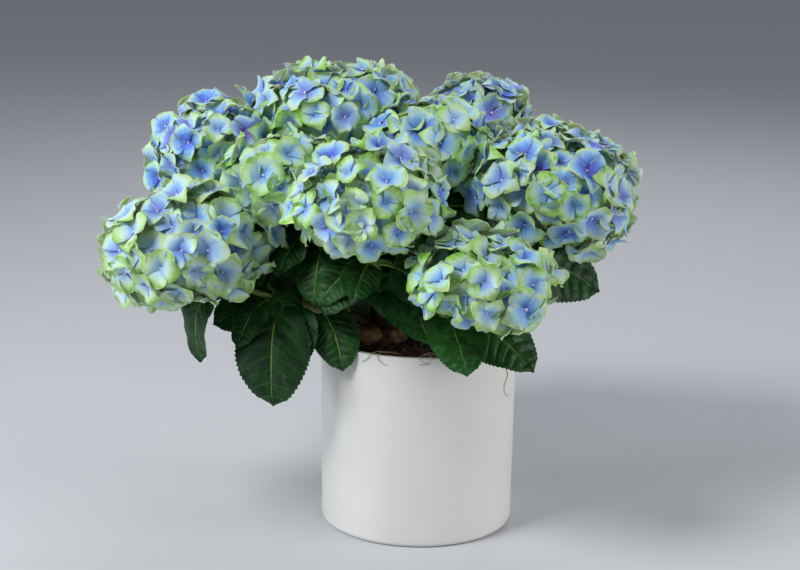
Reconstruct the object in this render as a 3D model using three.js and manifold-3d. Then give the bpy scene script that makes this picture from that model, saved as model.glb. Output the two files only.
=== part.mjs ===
// A mophead hydrangea in a plain white cylinder pot: a short woody trunk on a mounded root ball, canes that
// arch out of it, pairs of broad pointed leaves along each cane's green shoot, and a dome of four-petalled
// florets at the end of each shoot. Millimetres, +Z up. The origin is the centre of the pot's flat underside.
import * as THREE from "three";
import { mergeVertices } from "three/addons/utils/BufferGeometryUtils.js";
import Module from "manifold-3d";

const wasm = await Module();
wasm.setup();

// ---- Driving dimensions ----
const GAP = 0.3; // between pieces that meet
const ROOM = 0.4; // kept free round each leaf

// rim and foot are the outer radii at the top and the bottom, and floor is the thickness of the bottom.
const POT = { rim: 90, foot: 89, height: 178, wall: 5, floor: 8, corner: 5, lip: 1.2, sides: 40 };

// Heights of the root ball's top at the wall and in the middle, and of the shoulder halfway between them.
const SOIL = { edge: 171, shoulder: 175.8, crest: 178, crestRadius: 56 };

// The trunk's outline goes up from the soil as [height, radius]. The canes start inset from its axis.
const TRUNK = {
  x: -28,
  y: -22,
  sides: 10,
  inset: 5,
  outline: [
    [0, 19],
    [4.6, 14.5],
    [13.3, 12.5],
    [30.4, 13.5],
    [38, 7.4],
  ],
};

// Radii of a shoot at its foot, where the leafy stretch starts and at its neck under the head. bare is the
// share of its length with no leaves, and collar is the length of neck between the last leaf and the head.
const CANE = { foot: 4.1, shoot: 3.5, neck: 2.6, bare: 0.34, collar: 10, sides: 6, rings: 4 };

// Slopes in degrees at which a shoot leaves the trunk and enters its head: first for one that reaches out
// level, then for one that stands upright. pull is the share of its reach over which each slope holds.
const ARCH = { leaving: [-14, 84], entering: [20, 100], pull: 0.36 };

// width is over the blade's length, and rows are the steps along it. Its stalk rises by lift degrees less its
// share of the droop, and the middle of the blade has a share of it too. A leaf that lies across the plant
// rolls by up to roll degrees to face out from a point so far behind the trunk.
const LEAF = {
  petiole: 20,
  petioleRadius: 1.6,
  width: 0.74,
  thickness: 2,
  fold: 0.16,
  rows: 4,
  lift: 15,
  stalkDroop: 0.35,
  middleDroop: 0.45,
  roll: 60,
  behind: 90,
};

// The outline of a blade: where it is broadest, how full it is there, and the width left at its tip.
const BLADE = { belly: 0.75, fullness: 0.7, tip: 0.04 };

// Florets stand on a core that is a smaller copy of the head's dome, from its crown down to underside, with
// their faces on shell. spacing is between florets and petal is a floret's radius over it. cup, sag and notch
// are the depth of its throat, the drop of its notches and their radius, all over the floret's radius.
const HEAD = {
  core: 0.7,
  shell: 0.96,
  underside: -0.66,
  spacing: 43,
  sunk: 4,
  spin: 1.3,
  petal: 0.54,
  cup: 0.3,
  sag: 0.12,
  notch: 0.66,
  sizes: [1, 0.85, 0.7, 0.55],
};

// One shoot is a cane, its leaves and its flower head. foot is where the cane leaves the trunk, as a bearing
// in degrees from +X and a height above the soil. head is the middle of the dome, and dome is its half width,
// its height over its width and the outward lean of its axis in degrees. A pair of leaves is [place along
// the leafy stretch from 0 to 1, bearing of its first leaf in degrees from +X, droop of that leaf's tip and
// of its partner's in degrees below level, length of blade]. A pair with no second droop has lost that leaf.
const SHOOTS = [
  {
    name: "left_low",
    foot: [192, 8],
    head: [-201, -60, 267],
    dome: [80, 0.72, 20],
    pairs: [
      [0.54, 260, 76, 35, 92],
      [0.87, 201, 68, 60, 74],
      [0.1, 288, 55, 45, 58],
    ],
  },
  {
    name: "left_high",
    foot: [160, 19],
    head: [-192, 44, 344],
    dome: [66, 0.78, 16],
    pairs: [
      [0.24, 8, 45, 35, 90],
      [0.72, 128, 55, 45, 84],
    ],
  },
  {
    name: "top",
    foot: [118, 31],
    head: [-82, 62, 374],
    dome: [84, 0.62, 6],
    pairs: [
      [0.19, 144, 35, null, 92],
      [0.68, 96, 15, 25, 84],
    ],
  },
  {
    name: "centre",
    foot: [258, 21],
    head: [-46, -108, 321],
    dome: [68, 0.74, 8],
    pairs: [
      [0.08, 300, 58, null, 84],
      [0.72, 16, 45, 15, 80],
    ],
  },
  {
    name: "centre_left",
    foot: [202, 30],
    head: [-128, -44, 326],
    dome: [56, 0.78, 12],
    pairs: [
      [0.5, 262, 56, null, 78],
    ],
  },
  {
    name: "mid",
    foot: [340, 32],
    head: [6, 6, 352],
    dome: [62, 0.7, 0],
    pairs: [
      [0.68, 32, 65, null, 80],
    ],
  },
  {
    name: "top_right",
    foot: [62, 22],
    head: [55, 112, 366],
    dome: [52, 0.8, 12],
    pairs: [
      [0.24, 80, 45, 65, 88],
      [0.72, 32, 55, 25, 80],
    ],
  },
  {
    name: "right",
    foot: [5, 19],
    head: [117, -10, 317],
    dome: [81, 0.72, 16],
    pairs: [
      [0.54, 14, 28, 0, 92],
      [0.9, 72, 25, 75, 84],
    ],
  },
  {
    name: "right_low",
    foot: [305, 9],
    head: [55, -140, 263],
    dome: [66, 0.66, 10],
    pairs: [
      [0.41, 300, 42, null, 68],
      [0.69, 340, 34, 30, 80],
    ],
  },
  {
    name: "back_right",
    foot: [40, 8],
    head: [138, 130, 300],
    dome: [72, 0.72, 20],
    pairs: [
      [0.28, 168, 35, 75, 92],
      [0.85, 160, 75, 15, 88],
    ],
  },
  {
    name: "back_left",
    foot: [125, 8],
    head: [-134, 146, 300],
    dome: [74, 0.72, 20],
    pairs: [
      [0.28, 120, 15, null, 92],
      [0.85, 32, 25, 65, 88],
    ],
  },
  {
    name: "back",
    foot: [82, 10],
    head: [-10, 170, 300],
    dome: [70, 0.74, 18],
    pairs: [
      [0.24, 168, 65, null, 92],
      [0.85, 88, 15, 15, 88],
    ],
  },
];

// ---- Small tools ----
const UP = new THREE.Vector3(0, 0, 1);
const lerp = THREE.MathUtils.lerp;
const radians = THREE.MathUtils.degToRad;

// A closed solid from a three.js geometry whose every vertex goes through place().
function solidFrom(geometry, place = (p) => p) {
  const shape = geometry.index ? geometry.toNonIndexed() : geometry.clone();
  shape.deleteAttribute("normal");
  shape.deleteAttribute("uv");
  const position = shape.getAttribute("position");
  for (let i = 0; i < position.count; i++) {
    const p = place(new THREE.Vector3().fromBufferAttribute(position, i));
    position.setXYZ(i, p.x, p.y, p.z);
  }
  const merged = mergeVertices(shape, 1e-3);
  const mesh = { numProp: 3, vertProperties: merged.attributes.position.array };
  return new wasm.Manifold(new wasm.Mesh({ ...mesh, triVerts: new Uint32Array(merged.index.array) }));
}

function fuse(solids) {
  return solids.reduce((all, next) => all.add(next));
}

function meshOf(name, solid, material) {
  const { numProp, numVert, vertProperties, triVerts } = solid.getMesh();
  const position = new Float32Array(numVert * 3);
  for (let i = 0; i < numVert; i++) {
    position.set(vertProperties.subarray(i * numProp, i * numProp + 3), i * 3);
  }
  const geometry = new THREE.BufferGeometry();
  geometry.setAttribute("position", new THREE.BufferAttribute(position, 3));
  geometry.setIndex(new THREE.BufferAttribute(triVerts, 1));
  geometry.computeVertexNormals();
  const mesh = new THREE.Mesh(geometry, material);
  mesh.name = name;
  return mesh;
}

function touches(a, b) {
  const boxA = a.boundingBox();
  const boxB = b.boundingBox();
  const apart = [0, 1, 2].some((k) => boxA.min[k] > boxB.max[k] || boxB.min[k] > boxA.max[k]);
  return !apart && a.intersect(b).volume() > 0;
}

// A lathe turns about +Y, so its profile's second number becomes the height.
function turned(profile, sides, x = 0, y = 0) {
  const points = profile.map(([r, z]) => new THREE.Vector2(r, z));
  return solidFrom(new THREE.LatheGeometry(points, sides), (p) => new THREE.Vector3(x + p.x, y - p.z, p.y));
}

// ---- Materials ----
const paint = (color, roughness) => new THREE.MeshStandardMaterial({ color, roughness, metalness: 0 });
const glazeWhite = paint("#e9e8e4", 0.45);
const peatBrown = paint("#2a1d14", 0.95);
const barkBrown = paint("#6b5238", 0.85);
const caneGreen = paint("#8a9a45", 0.6);
const leafGreen = paint("#1f4a22", 0.45);
const petalBlue = paint("#9db6e6", 0.6);

// ---- Pot, root ball and trunk ----
function potSolid() {
  const { rim, foot, height, wall, floor, corner, lip, sides } = POT;
  const turn = (share) => (Math.PI / 2) * share;
  const cornerArc = [0, 0.5, 1].map((s) => [
    foot - corner + corner * Math.sin(turn(s)),
    corner - corner * Math.cos(turn(s)),
  ]);
  const profile = [
    [0, 0],
    ...cornerArc,
    [rim, height - lip],
    [rim - lip, height],
    [rim - wall + lip, height],
    [rim - wall, height - lip],
    [foot - wall, floor],
    [0, floor],
  ];
  return turned(profile, sides);
}

function soilSolid() {
  const { rim, foot, height, wall, floor, lip, sides } = POT;
  const { edge, shoulder, crest, crestRadius } = SOIL;
  const slope = (rim - foot) / (height - lip - floor);
  const reach = (z) => foot - wall + slope * (z - floor) - GAP;
  const profile = [
    [0, floor + GAP],
    [reach(floor), floor + GAP],
    [reach(edge), edge],
    [(reach(edge) + crestRadius) / 2, shoulder],
    [crestRadius, crest],
    [0, crest],
  ];
  return turned(profile, sides);
}

// The trunk, or the room that it takes when it is swollen by grow.
function trunkSolid(grow = 0) {
  const bottom = SOIL.crest + GAP;
  const top = bottom + TRUNK.outline.at(-1)[0] + grow;
  const side = TRUNK.outline.slice(0, -1).map(([z, r]) => [r + grow, z + bottom]);
  const profile = [[0, bottom], ...side, [TRUNK.outline.at(-1)[1] + grow, top], [0, top]];
  return turned(profile, TRUNK.sides, TRUNK.x, TRUNK.y);
}

// ---- Canes ----
// The direction at a slope in degrees above a level direction.
function heading(level, slope) {
  return level.clone().multiplyScalar(Math.cos(radians(slope))).addScaledVector(UP, Math.sin(radians(slope)));
}

function levelAt(bearing) {
  return new THREE.Vector3(Math.cos(radians(bearing)), Math.sin(radians(bearing)), 0);
}

// The level direction from the trunk to a shoot's head.
function outOf(shoot) {
  return new THREE.Vector3(shoot.head[0] - TRUNK.x, shoot.head[1] - TRUNK.y, 0).normalize();
}

// The line of a whole shoot, from inside the trunk to the middle of its head. Steep shoots rise at once, and
// wide ones run out low before they turn up into the head.
function lineOf(shoot) {
  const [bearing, height] = shoot.foot;
  const level = levelAt(bearing);
  const start = new THREE.Vector3(TRUNK.x, TRUNK.y, SOIL.crest + height).addScaledVector(level, TRUNK.inset);
  const end = new THREE.Vector3(...shoot.head);
  const reach = start.distanceTo(end);
  const steep = (end.z - start.z) / reach;
  const leaving = heading(level, lerp(...ARCH.leaving, steep));
  const entering = heading(outOf(shoot), lerp(...ARCH.entering, steep));
  return new THREE.CubicBezierCurve3(
    start,
    start.clone().addScaledVector(leaving, ARCH.pull * reach),
    end.clone().addScaledVector(entering, -ARCH.pull * reach),
    end,
  );
}

// The leafy stretch of a line, from the end of the bare cane up to the head's collar.
function leafyOf(shoot, line) {
  const collar = HEAD.core * shoot.dome[0] + CANE.collar;
  return [CANE.bare, 1 - collar / line.getLength()];
}

// The limb between two places on a line, each from 0 to 1, as a tapering closed tube.
function limb(line, from, to, fromRadius, toRadius, sides = CANE.sides, rings = CANE.rings) {
  const chord = line.getPoint(1).sub(line.getPoint(0));
  const side = new THREE.Vector3().crossVectors(chord, UP).normalize();
  return solidFrom(new THREE.CylinderGeometry(1, 1, 1, sides, rings), (p) => {
    const share = p.y + 0.5;
    const place = lerp(from, to, share);
    const radius = lerp(fromRadius, toRadius, share);
    const over = new THREE.Vector3().crossVectors(side, line.getTangentAt(place)).normalize();
    return line
      .getPointAt(place)
      .addScaledVector(side, p.x * radius)
      .addScaledVector(over, p.z * radius);
  });
}

// ---- Leaves ----
// How much of its full width a blade has at a share of its length: broad low down, drawn to a point.
function bladeWidth(share) {
  return Math.max(BLADE.tip, Math.sin(Math.PI * share ** BLADE.belly) ** BLADE.fullness);
}

// The midrib of a leaf, from the end of its stalk to its tip.
function midribOf(root, out, droop, length) {
  const base = root.clone().addScaledVector(heading(out, LEAF.lift - LEAF.stalkDroop * droop), LEAF.petiole);
  const bend = base.clone().addScaledVector(heading(out, -LEAF.middleDroop * droop), length / 2);
  const tip = base.clone().addScaledVector(heading(out, -droop), length);
  return new THREE.QuadraticBezierCurve3(base, bend, tip);
}

// How far a leaf's face is rolled towards the light, in radians.
function rollOf(root, bearing, droop) {
  const outwards = Math.atan2(root.y - TRUNK.y - LEAF.behind, root.x - TRUNK.x);
  return radians(LEAF.roll) * Math.sin(radians(bearing) - outwards) * Math.cos(radians(droop));
}

// A leaf is one four-sided tube whose first ring is the root of its stalk and whose other rings open out
// into the blade, folded up a little along the midrib. swell makes it fatter all round.
function leafSolid(root, bearing, droop, length, swell = 0) {
  const out = levelAt(bearing);
  const roll = rollOf(root, bearing, droop);
  const midrib = midribOf(root, out, droop, length);
  return solidFrom(new THREE.CylinderGeometry(1, 1, 1, 4, LEAF.rows + 1), (p) => {
    const row = Math.round((p.y + 0.5) * (LEAF.rows + 1));
    const share = Math.max(0, (row - 1) / LEAF.rows);
    const onStalk = row < 2;
    const halfWidth = onStalk ? LEAF.petioleRadius : (LEAF.width * length * bladeWidth(share)) / 2;
    const halfThick = onStalk ? LEAF.petioleRadius : LEAF.thickness / 2;
    const across = p.x * (halfWidth + swell);
    const along = midrib.getTangentAt(share);
    const side = new THREE.Vector3(out.y, -out.x, 0).applyAxisAngle(along, onStalk ? 0 : roll);
    const face = new THREE.Vector3().crossVectors(side, along);
    const middle = row === 0 ? root.clone() : midrib.getPointAt(share);
    return middle
      .addScaledVector(side, across)
      .addScaledVector(face, p.z * (halfThick + swell) + (onStalk ? 0 : Math.abs(across) * LEAF.fold));
  });
}

// The leaves of one shoot that have room, on its stem.
function leavesSolid(shoot, line, stem, others) {
  const parts = [stem];
  for (const [place, bearing, droop, partnerDroop, length] of shoot.pairs) {
    const root = line.getPointAt(lerp(...leafyOf(shoot, line), place));
    const pair = [[root, bearing, droop, length]];
    if (partnerDroop !== null) {
      pair.push([root, bearing + 180, partnerDroop, length]);
    }
    const free = pair.filter((leaf) => !others.some((other) => touches(leafSolid(...leaf, ROOM), other)));
    parts.push(...free.map((leaf) => leafSolid(...leaf)));
  }
  return fuse(parts);
}

// ---- Flower heads ----
// One floret as a cupped face with four petals that narrows to a stalk: a cone whose cap is the face.
function floretSolid(frame, radius, depth) {
  const petals = 4;
  return solidFrom(new THREE.ConeGeometry(1, 1, 2 * petals), (p) => {
    const onAxis = Math.hypot(p.x, p.z) < 0.5;
    if (onAxis) {
      const tip = p.y > 0 ? -depth : -HEAD.cup * radius;
      return new THREE.Vector3(0, 0, tip).applyMatrix4(frame);
    }
    const step = Math.round((Math.atan2(p.z, p.x) / Math.PI) * petals);
    const onPetal = step % 2 === 0;
    const reach = radius * (onPetal ? 1 : HEAD.notch);
    const drop = onPetal ? 0 : HEAD.sag * radius;
    return new THREE.Vector3(p.x * reach, p.z * reach, -drop).applyMatrix4(frame);
  });
}

// Whether a point lies in another head's space, by its power distance to the two domes.
function strays(point, own) {
  const power = (shoot) => point.distanceToSquared(new THREE.Vector3(...shoot.head)) - shoot.dome[0] ** 2;
  return SHOOTS.some((other) => other !== own && power(other) < power(own));
}

// The turn from +Z to the axis of a shoot's dome.
function leanOf(shoot) {
  const axis = heading(outOf(shoot), 90 - shoot.dome[2]);
  return new THREE.Quaternion().setFromUnitVectors(UP, axis);
}

// The unit sphere's place as a shoot's dome.
function domeOf(shoot) {
  const [radius, flat] = shoot.dome;
  const size = new THREE.Vector3(radius, radius, radius * flat);
  return new THREE.Matrix4().compose(new THREE.Vector3(...shoot.head), leanOf(shoot), size);
}

function coreSolid(shoot) {
  const dome = domeOf(shoot);
  return solidFrom(new THREE.IcosahedronGeometry(HEAD.core, 1), (p) => p.applyMatrix4(dome));
}

// Even points on the unit sphere along a spiral from its crown down to the head's underside.
function spotsOn(shoot) {
  const [radius, flat] = shoot.dome;
  const golden = Math.PI * (3 - Math.sqrt(5));
  const area = 2 * Math.PI * (1 - HEAD.underside) * radius * radius * lerp(0.5, 1, flat);
  const count = Math.round(area / HEAD.spacing ** 2);
  return Array.from({ length: count }, (_, i) => {
    const height = 1 - ((1 - HEAD.underside) * (i + 0.5)) / count;
    const level = Math.sqrt(1 - height * height);
    return new THREE.Vector3(level * Math.cos(i * golden), level * Math.sin(i * golden), height);
  });
}

// The core, the neck that carries it and the florets. A floret that would touch one of the others is made
// smaller, and left out where even that doesn't fit.
function headSolid(shoot, line, others) {
  const flat = shoot.dome[1];
  const dome = domeOf(shoot);
  const neckFrom = leafyOf(shoot, line)[1] + GAP / line.getLength();
  const parts = [coreSolid(shoot), limb(line, neckFrom, 1, CANE.neck, CANE.neck, CANE.sides, 2)];
  spotsOn(shoot).forEach((spot, i) => {
    const place = spot.clone().multiplyScalar(HEAD.shell).applyMatrix4(dome);
    if (strays(place, shoot)) {
      return;
    }
    const out = new THREE.Vector3(spot.x, spot.y, spot.z / flat).normalize().applyQuaternion(leanOf(shoot));
    const spin = new THREE.Quaternion().setFromAxisAngle(UP, i * HEAD.spin);
    const facing = new THREE.Quaternion().setFromUnitVectors(UP, out).multiply(spin);
    const frame = new THREE.Matrix4().compose(place, facing, new THREE.Vector3(1, 1, 1));
    const depth = place.distanceTo(spot.clone().multiplyScalar(HEAD.core).applyMatrix4(dome)) + HEAD.sunk;
    const radius = HEAD.spacing * HEAD.petal;
    const tries = HEAD.sizes.map((size) => floretSolid(frame, size * radius, depth));
    const fitting = tries.find((floret) => !others.some((other) => touches(floret, other)));
    if (fitting) {
      parts.push(fitting);
    }
  });
  return fuse(parts);
}

// ---- Assembly ----
const plant = new THREE.Group();
const pot = potSolid();
const soil = soilSolid();
const trunk = trunkSolid();
plant.add(meshOf("pot", pot, glazeWhite));
plant.add(meshOf("soil", soil, peatBrown));
plant.add(meshOf("trunk", trunk, barkBrown));

const trunkRoom = trunkSolid(GAP);
const lines = SHOOTS.map(lineOf);
const canes = lines.map((line) => limb(line, 0, CANE.bare, CANE.foot, CANE.shoot).subtract(trunkRoom));
SHOOTS.forEach((shoot, i) => plant.add(meshOf("cane_" + shoot.name, canes[i], caneGreen)));

const stems = SHOOTS.map((shoot, i) => {
  const [from, to] = leafyOf(shoot, lines[i]);
  return limb(lines[i], from + GAP / lines[i].getLength(), to, CANE.shoot, CANE.neck);
});
const limbs = [...canes, ...stems];
const cores = SHOOTS.map(coreSolid);
const heads = [];
SHOOTS.forEach((shoot, i) => {
  const others = [...limbs, ...cores.filter((core) => core !== cores[i]), ...heads];
  heads.push(headSolid(shoot, lines[i], others));
  plant.add(meshOf("head_" + shoot.name, heads[i], petalBlue));
});

const taken = [pot, soil, trunk, ...limbs, ...heads];
SHOOTS.forEach((shoot, i) => {
  const others = taken.filter((other) => other !== stems[i]);
  const leaves = leavesSolid(shoot, lines[i], stems[i], others);
  taken.push(leaves);
  plant.add(meshOf("leaves_" + shoot.name, leaves, leafGreen));
});

export default plant;
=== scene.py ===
# A potted mophead hydrangea, dressed over its frame: a satin white pot, a mounded root ball with its fibres,
# green canes, quilted leaves and heads of cupped florets. Shapes are worked out in millimetres in the
# frame's own axes, and every mesh is scaled to metres when it is finished.
import bisect
import math
import random

import bmesh
import bpy
from mathutils import Matrix, Quaternion, Vector, noise


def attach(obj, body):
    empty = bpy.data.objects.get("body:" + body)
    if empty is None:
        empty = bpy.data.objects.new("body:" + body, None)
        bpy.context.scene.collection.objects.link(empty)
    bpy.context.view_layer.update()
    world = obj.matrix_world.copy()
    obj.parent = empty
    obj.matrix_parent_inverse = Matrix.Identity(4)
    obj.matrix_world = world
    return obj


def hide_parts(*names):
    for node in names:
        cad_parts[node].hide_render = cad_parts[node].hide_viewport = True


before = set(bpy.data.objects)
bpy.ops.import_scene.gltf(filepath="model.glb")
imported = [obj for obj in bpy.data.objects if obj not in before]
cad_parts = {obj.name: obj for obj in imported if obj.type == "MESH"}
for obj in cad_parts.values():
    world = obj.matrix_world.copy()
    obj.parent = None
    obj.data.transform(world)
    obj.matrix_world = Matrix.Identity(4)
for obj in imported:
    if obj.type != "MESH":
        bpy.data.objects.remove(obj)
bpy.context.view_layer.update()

MM = 0.001
UP = Vector((0, 0, 1))
SEED = 20

# ---- The plant's plan, in millimetres and degrees ----
# The pot, the root ball and the trunk are as in the frame. The flower heads and their stems lie within 7 mm
# of the frame's, and some of the leaves are set anew.
POT = {"rim": 90, "foot": 89, "height": 178, "wall": 5, "floor": 8, "corner": 5, "lip": 1.2}
SOIL = {"edge": 171, "shoulder": 175.8, "crest": 178, "crest_radius": 56, "gap": 0.3}
TRUNK = {"x": -28, "y": -22, "inset": 5}
TRUNK_OUTLINE = [(0, 19), (4.6, 14.5), (13.3, 12.5), (30.4, 13.5), (38, 7.4)]  # height over the soil, radius
CANE = {"foot": 4.1, "shoot": 3.5, "neck": 2.6, "bare": 0.34, "collar": 10}
ARCH = {"leaving": (-14, 84), "entering": (20, 100), "pull": 0.36}
# petiole is the stalk of a level leaf, and hanging that of one that droops by steepest. A leaf's face is
# rolled outwards by up to roll, away from a spot that lies behind the trunk.
LEAF = {
    "petiole": 20, "hanging": 9, "steepest": 76, "stalk": 1.6, "width": 0.74, "fold": 0.16, "lift": 15,
    "stalk_droop": 0.35, "middle_droop": 0.45, "roll": 60, "behind": 90,
}
BLADE = {"belly": 0.8, "fullness": 0.62, "neck": 0.9, "tip": 1.2, "midrib": 0.022, "crowding": 0.95}
HEAD = {"core": 0.7, "underside": -0.66}

# foot is where a shoot leaves the trunk: its bearing and its height above the soil. head is the middle of
# its flower head, and dome is the head's half width, its height over its width and its lean outwards. green
# is how far the petals have turned from blue (0) to lime (1). pale is the share of paler florets, and
# underside how far down the unit sphere the florets go, where these aren't the usual ones. A pair of leaves
# is (place along the leafy stretch, bearing of the first, droop of the first, droop of its partner or None,
# length of blade), and a small leaf is (place, bearing, droop, length of blade). A place below 0 lies on the
# bare cane, and one past 1 within the head.
SHOOTS = [
    {
        "name": "left_low", "foot": (192, 8), "head": (-201, -60, 267), "dome": (80, 0.76, 12),
        "green": 0.84, "pale": 0.85, "underside": -0.72,
        "pairs": [(0.54, 260, 76, None, 92), (1.4, 205, 78, None, 74), (0.0, 304, 55, 45, 58)],
        "small": [
            (0.3, 272, 66, 56), (0.62, 222, 52, 48), (0.3, 186, 20, 62),
            (0.6, 120, -35, 62), (0.85, 330, 50, 40), (-0.1, 165, -15, 50),
        ],
    },
    {
        "name": "left_high", "foot": (160, 19), "head": (-189, 44, 338), "dome": (66, 0.78, 16),
        "green": 0.38,
        "pairs": [(0.24, 8, 45, 35, 90), (0.72, 128, 55, 45, 84)],
        "small": [(0.6, 235, 70, 78)],
    },
    {
        "name": "top", "foot": (118, 31), "head": (-82, 62, 370), "dome": (84, 0.62, 6),
        "green": 0.56,
        "pairs": [(0.19, 144, 35, None, 92), (0.68, 96, 30, 25, 84)],
    },
    {
        "name": "centre", "foot": (258, 21), "head": (-46, -108, 321), "dome": (68, 0.74, 8),
        "green": 0.68,
        "pairs": [(0.08, 312, 42, None, 70), (0.72, 16, 45, None, 80)],
        "small": [
            (0.66, 204, 40, 52), (0.78, 250, 34, 46), (0.5, 215, 42, 54),
            (0.6, 330, 30, 60), (0.9, 30, 10, 50), (0.1, 105, 60, 62),
        ],
    },
    {
        "name": "centre_left", "foot": (202, 30), "head": (-128, -44, 326), "dome": (56, 0.78, 12),
        "green": 1.05, "pale": 0.25,
        "pairs": [(0.5, 262, 50, None, 54)],
        "small": [(0.8, 236, 40, 44), (0.7, 330, 20, 50), (0.1, 135, 75, 62)],
    },
    {
        "name": "mid", "foot": (340, 32), "head": (6, 6, 352), "dome": (62, 0.7, 0),
        "green": 0.78, "pale": 0.2,
        "pairs": [(0.68, 32, 65, None, 80)],
        "small": [(0.3, 300, 25, 60), (0.7, 310, 5, 64), (0.85, 350, 0, 62), (0.6, 250, 10, 60)],
    },
    {
        "name": "top_right", "foot": (62, 22), "head": (55, 112, 363), "dome": (52, 0.8, 12),
        "green": 0.16, "pale": 0.8,
        "pairs": [(0.24, 80, 45, 65, 88), (0.72, 32, 55, 25, 80)],
    },
    {
        "name": "right", "foot": (5, 19), "head": (117, -10, 317), "dome": (81, 0.72, 16),
        "green": 0.42, "underside": -0.9,
        "pairs": [(0.72, 14, 26, 0, 100), (0.9, 72, 25, 75, 84)],
    },
    {
        "name": "right_low", "foot": (305, 9), "head": (51, -140, 261), "dome": (63, 0.66, 10),
        "green": 0.84, "pale": 0.4,
        "pairs": [(0.62, 286, 32, None, 68), (0.69, 340, 34, None, 80)],
        "small": [(0.74, 165, -12, 54)],
    },
    {
        "name": "back_right", "foot": (40, 8), "head": (138, 130, 300), "dome": (72, 0.72, 20),
        "green": 0.5,
        "pairs": [(0.28, 168, 35, 75, 92), (0.85, 140, 75, None, 92)],
    },
    {
        "name": "back_left", "foot": (125, 8), "head": (-134, 146, 300), "dome": (74, 0.72, 20),
        "green": 0.5,
        "pairs": [(0.28, 120, 15, None, 92), (0.85, 32, 25, 65, 88)],
        "small": [(0.55, 248, 60, 72), (0.95, 250, 64, 78), (0.3, 230, 40, 66)],
    },
    {
        "name": "back", "foot": (82, 10), "head": (-10, 170, 300), "dome": (70, 0.74, 18),
        "green": 0.4,
        "pairs": [(0.24, 168, 65, None, 92), (0.85, 88, 15, 15, 88)],
    },
]


# ---- Small tools ----
def lerp(a, b, share):
    return a + (b - a) * share


def clamp(value, low=0.0, high=1.0):
    return max(low, min(high, value))


def smooth(value):
    """0 to 1 along an S-curve."""
    value = clamp(value)
    return value * value * (3 - 2 * value)


def linear(hex_colour):
    """A screen colour as the linear RGBA that a shader takes."""
    parts = [int(hex_colour[i : i + 2], 16) / 255 for i in (0, 2, 4)]
    return [c / 12.92 if c <= 0.04045 else ((c + 0.055) / 1.055) ** 2.4 for c in parts] + [1.0]


def heading(level, slope):
    """The direction at a slope in degrees above a level direction."""
    return level * math.cos(math.radians(slope)) + UP * math.sin(math.radians(slope))


def level_at(bearing):
    return Vector((math.cos(math.radians(bearing)), math.sin(math.radians(bearing)), 0))


class Line:
    """A Bezier curve that is read by its share of arc length, from 0 to 1."""

    STEPS = 200
    NUDGE = 0.005

    def __init__(self, *controls):
        self.controls = [Vector(c) for c in controls]
        spots = [self.spot(i / self.STEPS) for i in range(self.STEPS + 1)]
        self.reached = [0.0]
        for a, b in zip(spots, spots[1:]):
            self.reached.append(self.reached[-1] + (b - a).length)
        self.length = self.reached[-1]

    def spot(self, t):
        spots = self.controls
        while len(spots) > 1:
            spots = [a.lerp(b, t) for a, b in zip(spots, spots[1:])]
        return spots[0]

    def parameter(self, share):
        target = clamp(share) * self.length
        i = min(bisect.bisect_right(self.reached, target), self.STEPS)
        before, after = self.reached[i - 1], self.reached[i]
        return (i - 1 + clamp((target - before) / max(after - before, 1e-9))) / self.STEPS

    def at(self, share):
        return self.spot(self.parameter(share))

    def along(self, share):
        t = clamp(self.parameter(share), self.NUDGE, 1 - self.NUDGE)
        return (self.spot(t + self.NUDGE) - self.spot(t - self.NUDGE)).normalized()


def finished(name, bm, materials, nodes=()):
    """Turns a bmesh in millimetres into a piece in metres that rides on the plant and replaces nodes."""
    bmesh.ops.scale(bm, vec=(MM, MM, MM), verts=bm.verts)
    mesh = bpy.data.meshes.new(name)
    bm.to_mesh(mesh)
    bm.free()
    for material in materials:
        mesh.materials.append(material)
    mesh.shade_smooth()
    piece = bpy.data.objects.new(name, mesh)
    bpy.context.scene.collection.objects.link(piece)
    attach(piece, "root")
    if nodes:
        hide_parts(*nodes)


def as_template(name, bm, sharp):
    """Keeps a bmesh as a mesh to copy from. Edges that turn by more than sharp degrees stay crisp."""
    for edge in bm.edges:
        edge.smooth = edge.calc_face_angle(0.0) < math.radians(sharp)
    mesh = bpy.data.meshes.new(name)
    bm.to_mesh(mesh)
    bm.free()
    return mesh


def add_copy(bm, template, place, paint=None):
    """Adds a copy of a template, with its points moved by place and its faces' materials set by paint."""
    verts, faces = len(bm.verts), len(bm.faces)
    bm.from_mesh(template)
    bm.verts.ensure_lookup_table()
    for vert in bm.verts[verts:]:
        vert.co = place(vert.co)
    if paint is not None:
        bm.faces.ensure_lookup_table()
        for face in bm.faces[faces:]:
            face.material_index = paint(face.material_index)


tube_templates = {}


def tube_template(sides, rings):
    """A straight unit tube from z = 0 to z = 1 with closed ends, in a number of rings."""
    if (sides, rings) not in tube_templates:
        bm = bmesh.new()
        bmesh.ops.create_cone(bm, cap_ends=True, segments=sides, radius1=1, radius2=1, depth=1)
        bmesh.ops.translate(bm, vec=(0, 0, 0.5), verts=bm.verts)
        sides_up = [e for e in bm.edges if abs(e.verts[0].co.z - e.verts[1].co.z) > 0.5]
        bmesh.ops.subdivide_edges(bm, edges=sides_up, cuts=rings - 1)
        tube_templates[sides, rings] = as_template(f"tube {sides} {rings}", bm, 80)
    return tube_templates[sides, rings]


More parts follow.
